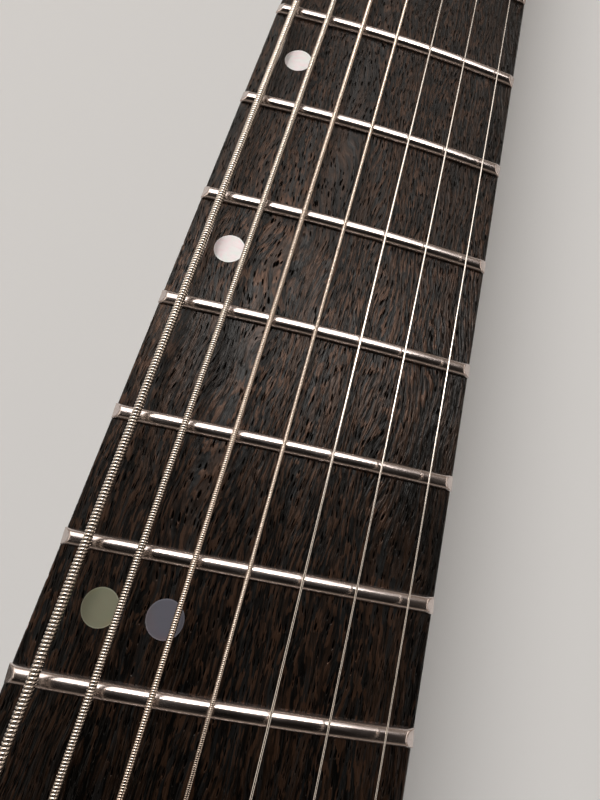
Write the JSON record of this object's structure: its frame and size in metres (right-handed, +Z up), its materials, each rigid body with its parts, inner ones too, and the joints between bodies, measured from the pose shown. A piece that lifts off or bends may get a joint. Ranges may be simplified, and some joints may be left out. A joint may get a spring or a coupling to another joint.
{
  "type": "seven-string electric guitar",
  "caption": "Solid-body electric guitar with a fanned dark fretboard, offset dot inlays, in-line tuners, fixed slanted bridge and a pair of covered pickups.",
  "frame": {"origin": "on the surface that the guitar's back lies on, under the middle of the whole guitar's box", "axes": "+Y along the neck towards the headstock, +X across the strings towards the treble side, +Z up out of the fretboard"},
  "size_m": [0.33, 1.0112, 0.0592],
  "materials": {
    "body_lacquer": "satin black lacquer over solid wood",
    "neck_wood": "oiled dark wood, satin",
    "fretboard_wood": "oiled open-grained wenge with fine light streaks and pores",
    "fret_wire": "polished nickel silver",
    "nut": "black graphite-filled plastic",
    "truss_rod": "plain steel",
    "black_hardware": "satin black plated metal",
    "tuner_keys": "satin black plated metal",
    "tuner_posts": "polished steel",
    "wound_strings": "nickel-plated round-wound wire",
    "plain_strings": "plain tinned steel wire",
    "pickup_covers": "matte black moulded plastic",
    "control_board": "green circuit board with steel controls",
    "knobs": "satin black metal with a knurled side",
    "selector_lever": "satin black metal",
    "control_cover": "matte black plastic sheet",
    "output_jack": "satin black plated metal",
    "strap_buttons": "satin black plated metal"
  },
  "bodies": {
    "root": {"body": "body_lacquer", "neck": "neck_wood", "fretboard": "fretboard_wood", "fret_01": "fret_wire", "fret_02": "fret_wire", "fret_03": "fret_wire", "fret_04": "fret_wire", "fret_05": "fret_wire", "fret_06": "fret_wire", "fret_07": "fret_wire", "fret_08": "fret_wire", "fret_09": "fret_wire", "fret_10": "fret_wire", "fret_11": "fret_wire", "fret_12": "fret_wire", "fret_13": "fret_wire", "fret_14": "fret_wire", "fret_15": "fret_wire", "fret_16": "fret_wire", "fret_17": "fret_wire", "fret_18": "fret_wire", "fret_19": "fret_wire", "fret_20": "fret_wire", "fret_21": "fret_wire", "fret_22": "fret_wire", "nut": "nut", "truss_rod": "truss_rod", "tuner_plate": "black_hardware", "string_1": "wound_strings", "string_2": "wound_strings", "string_3": "wound_strings", "string_4": "wound_strings", "string_5": "plain_strings", "string_6": "plain_strings", "string_7": "plain_strings", "bridge": "black_hardware", "neck_pickup": "pickup_covers", "bridge_pickup": "pickup_covers", "control_board": "control_board", "control_cover": "control_cover", "output_jack": "output_jack", "strap_button_end": "strap_buttons", "strap_button_horn": "strap_buttons"},
    "tuner_key_1": {"tuner_key_1": "tuner_keys"},
    "tuner_post_1": {"tuner_post_1": "tuner_posts"},
    "tuner_key_2": {"tuner_key_2": "tuner_keys"},
    "tuner_post_2": {"tuner_post_2": "tuner_posts"},
    "tuner_key_3": {"tuner_key_3": "tuner_keys"},
    "tuner_post_3": {"tuner_post_3": "tuner_posts"},
    "tuner_key_4": {"tuner_key_4": "tuner_keys"},
    "tuner_post_4": {"tuner_post_4": "tuner_posts"},
    "tuner_key_5": {"tuner_key_5": "tuner_keys"},
    "tuner_post_5": {"tuner_post_5": "tuner_posts"},
    "tuner_key_6": {"tuner_key_6": "tuner_keys"},
    "tuner_post_6": {"tuner_post_6": "tuner_posts"},
    "tuner_key_7": {"tuner_key_7": "tuner_keys"},
    "tuner_post_7": {"tuner_post_7": "tuner_posts"},
    "volume_knob": {"volume_knob": "knobs"},
    "tone_knob": {"tone_knob": "knobs"},
    "selector_lever": {"selector_lever": "selector_lever"}
  },
  "joints": [
    {"name": "key_turn_1", "type": "hinge", "parent": "root", "child": "tuner_key_1", "pos_m": [-0.02319, 0.33593, 0.023], "axis": [-0.9664, 0.2572, 0], "continuous": true},
    {"name": "post_turn_1", "type": "hinge", "parent": "root", "child": "tuner_post_1", "pos_m": [-0.02486, 0.32965, 0.0415], "axis": [0, 0, 1], "continuous": true},
    {"name": "key_turn_2", "type": "hinge", "parent": "root", "child": "tuner_key_2", "pos_m": [-0.01654, 0.36093, 0.023], "axis": [-0.9664, 0.2572, 0], "continuous": true},
    {"name": "post_turn_2", "type": "hinge", "parent": "root", "child": "tuner_post_2", "pos_m": [-0.01821, 0.35465, 0.0415], "axis": [0, 0, 1], "continuous": true},
    {"name": "key_turn_3", "type": "hinge", "parent": "root", "child": "tuner_key_3", "pos_m": [-0.00988, 0.38593, 0.023], "axis": [-0.9664, 0.2572, 0], "continuous": true},
    {"name": "post_turn_3", "type": "hinge", "parent": "root", "child": "tuner_post_3", "pos_m": [-0.01155, 0.37965, 0.0415], "axis": [0, 0, 1], "continuous": true},
    {"name": "key_turn_4", "type": "hinge", "parent": "root", "child": "tuner_key_4", "pos_m": [-0.00323, 0.41093, 0.023], "axis": [-0.9664, 0.2572, 0], "continuous": true},
    {"name": "post_turn_4", "type": "hinge", "parent": "root", "child": "tuner_post_4", "pos_m": [-0.0049, 0.40465, 0.0415], "axis": [0, 0, 1], "continuous": true},
    {"name": "key_turn_5", "type": "hinge", "parent": "root", "child": "tuner_key_5", "pos_m": [0.00343, 0.43593, 0.023], "axis": [-0.9664, 0.2572, 0], "continuous": true},
    {"name": "post_turn_5", "type": "hinge", "parent": "root", "child": "tuner_post_5", "pos_m": [0.00175, 0.42965, 0.0415], "axis": [0, 0, 1], "continuous": true},
    {"name": "key_turn_6", "type": "hinge", "parent": "root", "child": "tuner_key_6", "pos_m": [0.01008, 0.46093, 0.023], "axis": [-0.9664, 0.2572, 0], "continuous": true},
    {"name": "post_turn_6", "type": "hinge", "parent": "root", "child": "tuner_post_6", "pos_m": [0.00841, 0.45465, 0.0415], "axis": [0, 0, 1], "continuous": true},
    {"name": "key_turn_7", "type": "hinge", "parent": "root", "child": "tuner_key_7", "pos_m": [0.01673, 0.48593, 0.023], "axis": [-0.9664, 0.2572, 0], "continuous": true},
    {"name": "post_turn_7", "type": "hinge", "parent": "root", "child": "tuner_post_7", "pos_m": [0.01506, 0.47965, 0.0415], "axis": [0, 0, 1], "continuous": true},
    {"name": "volume_turn", "type": "hinge", "parent": "root", "child": "volume_knob", "pos_m": [0.092, -0.36635, 0.042], "axis": [0, 0, 1], "range_deg": [-150, 150]},
    {"name": "tone_turn", "type": "hinge", "parent": "root", "child": "tone_knob", "pos_m": [0.11, -0.40435, 0.042], "axis": [0, 0, 1], "range_deg": [-150, 150]},
    {"name": "selector_tilt", "type": "hinge", "parent": "root", "child": "selector_lever", "pos_m": [0.123, -0.36635, 0.0422], "axis": [1, 0, 0], "range_deg": [-14, 14]}
  ],
  "couplings": [
    {"joint": "post_turn_1", "follows": "key_turn_1", "ratio": 0.071429},
    {"joint": "post_turn_2", "follows": "key_turn_2", "ratio": 0.071429},
    {"joint": "post_turn_3", "follows": "key_turn_3", "ratio": 0.071429},
    {"joint": "post_turn_4", "follows": "key_turn_4", "ratio": 0.071429},
    {"joint": "post_turn_5", "follows": "key_turn_5", "ratio": 0.071429},
    {"joint": "post_turn_6", "follows": "key_turn_6", "ratio": 0.071429},
    {"joint": "post_turn_7", "follows": "key_turn_7", "ratio": 0.071429}
  ]
}
